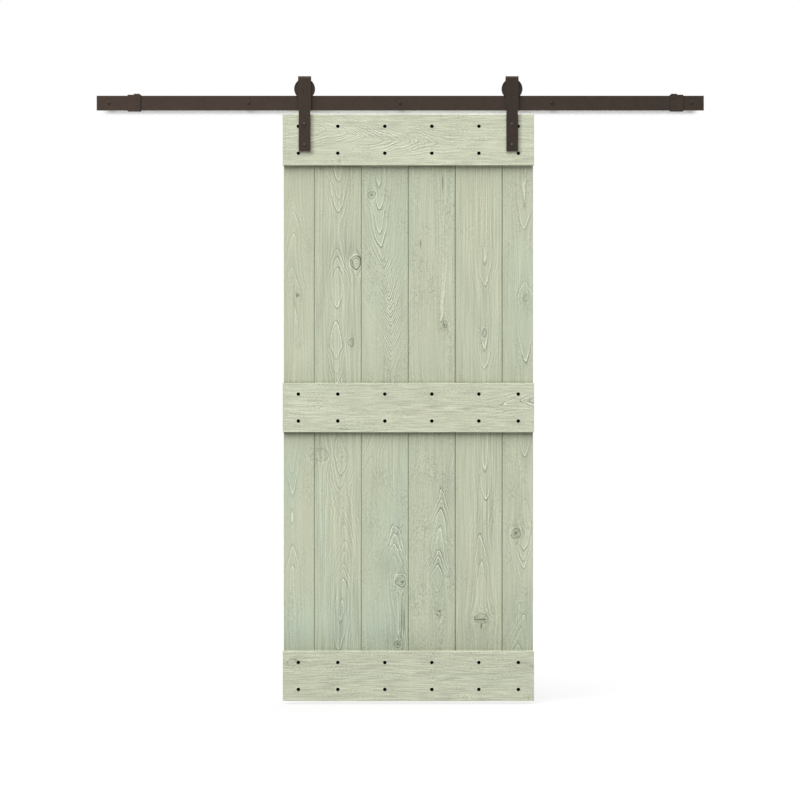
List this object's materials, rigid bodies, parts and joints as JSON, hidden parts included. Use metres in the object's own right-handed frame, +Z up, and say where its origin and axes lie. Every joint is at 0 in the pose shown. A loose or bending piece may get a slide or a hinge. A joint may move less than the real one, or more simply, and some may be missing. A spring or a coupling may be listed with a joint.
{
  "type": "sliding barn door",
  "caption": "Boarded wooden sliding door with face bars, hung by bent strap hangers with grooved wheels from a flat metal wall track with end stops.",
  "frame": {"origin": "on the wall plane, on the axis of the middle wall bolt, at the track's mid height", "axes": "+X along the track to the right as seen from the room, +Y into the wall, +Z up"},
  "size_m": [2.21, 0.1045, 2.2728],
  "materials": {
    "bronze_coat": "satin dark bronze powder coat",
    "stained_board": "sage green stain on brushed knotty pine",
    "stained_bar": "sage green stain on brushed knotty pine",
    "black_screw": "matt black",
    "pad_rubber": "matt",
    "zinc_steel": "zinc plated",
    "bearing_steel": "ground"
  },
  "bodies": {
    "track": {"track_rail": "bronze_coat", "lag_bolts": "bronze_coat", "stop_set_screws": "black_screw", "wall_spacer_1": "bronze_coat", "wall_spacer_2": "bronze_coat", "wall_spacer_3": "bronze_coat", "wall_spacer_4": "bronze_coat", "wall_spacer_5": "bronze_coat", "stop_body_left": "bronze_coat", "stop_body_right": "bronze_coat", "stop_bumper_left": "pad_rubber", "stop_bumper_right": "pad_rubber"},
    "door": {"board_1": "stained_board", "board_2": "stained_board", "board_3": "stained_board", "board_4": "stained_board", "board_5": "stained_board", "board_6": "stained_board", "top_bar": "stained_bar", "middle_bar": "stained_bar", "bottom_bar": "stained_bar", "top_bar_screws": "black_screw", "middle_bar_screws": "black_screw", "bottom_bar_screws": "black_screw", "strap_bolts": "bronze_coat", "strap_washers": "zinc_steel", "strap_nuts": "zinc_steel", "hanger_strap_left": "bronze_coat", "hanger_strap_right": "bronze_coat", "axle_bolt_left": "bronze_coat", "axle_bolt_right": "bronze_coat", "axle_nut_left": "zinc_steel", "axle_nut_right": "zinc_steel", "axle_bush_front_left": "zinc_steel", "axle_bush_front_right": "zinc_steel", "axle_bush_rear_left": "zinc_steel", "axle_bush_rear_right": "zinc_steel", "bearing_inner_left": "bearing_steel", "bearing_inner_right": "bearing_steel"},
    "wheel_left": {"wheel_left": "bronze_coat", "bearing_outer_left": "bearing_steel", "bearing_balls_left": "bearing_steel"},
    "wheel_right": {"wheel_right": "bronze_coat", "bearing_outer_right": "bearing_steel", "bearing_balls_right": "bearing_steel"}
  },
  "joints": [
    {"name": "door_slide", "type": "slide", "parent": "track", "child": "door", "axis": [1, 0, 0], "range_m": [-0.5628, 0.5418]},
    {"name": "wheel_left_spin", "type": "hinge", "parent": "door", "child": "wheel_left", "pos_m": [-0.348, -0.038, 0.05155], "axis": [0, 1, 0], "continuous": true},
    {"name": "wheel_right_spin", "type": "hinge", "parent": "door", "child": "wheel_right", "pos_m": [0.407, -0.038, 0.05155], "axis": [0, 1, 0], "continuous": true}
  ],
  "couplings": [
    {"joint": "wheel_left_spin", "follows": "door_slide", "rad_per_m": 40.816},
    {"joint": "wheel_right_spin", "follows": "door_slide", "rad_per_m": 40.816}
  ]
}
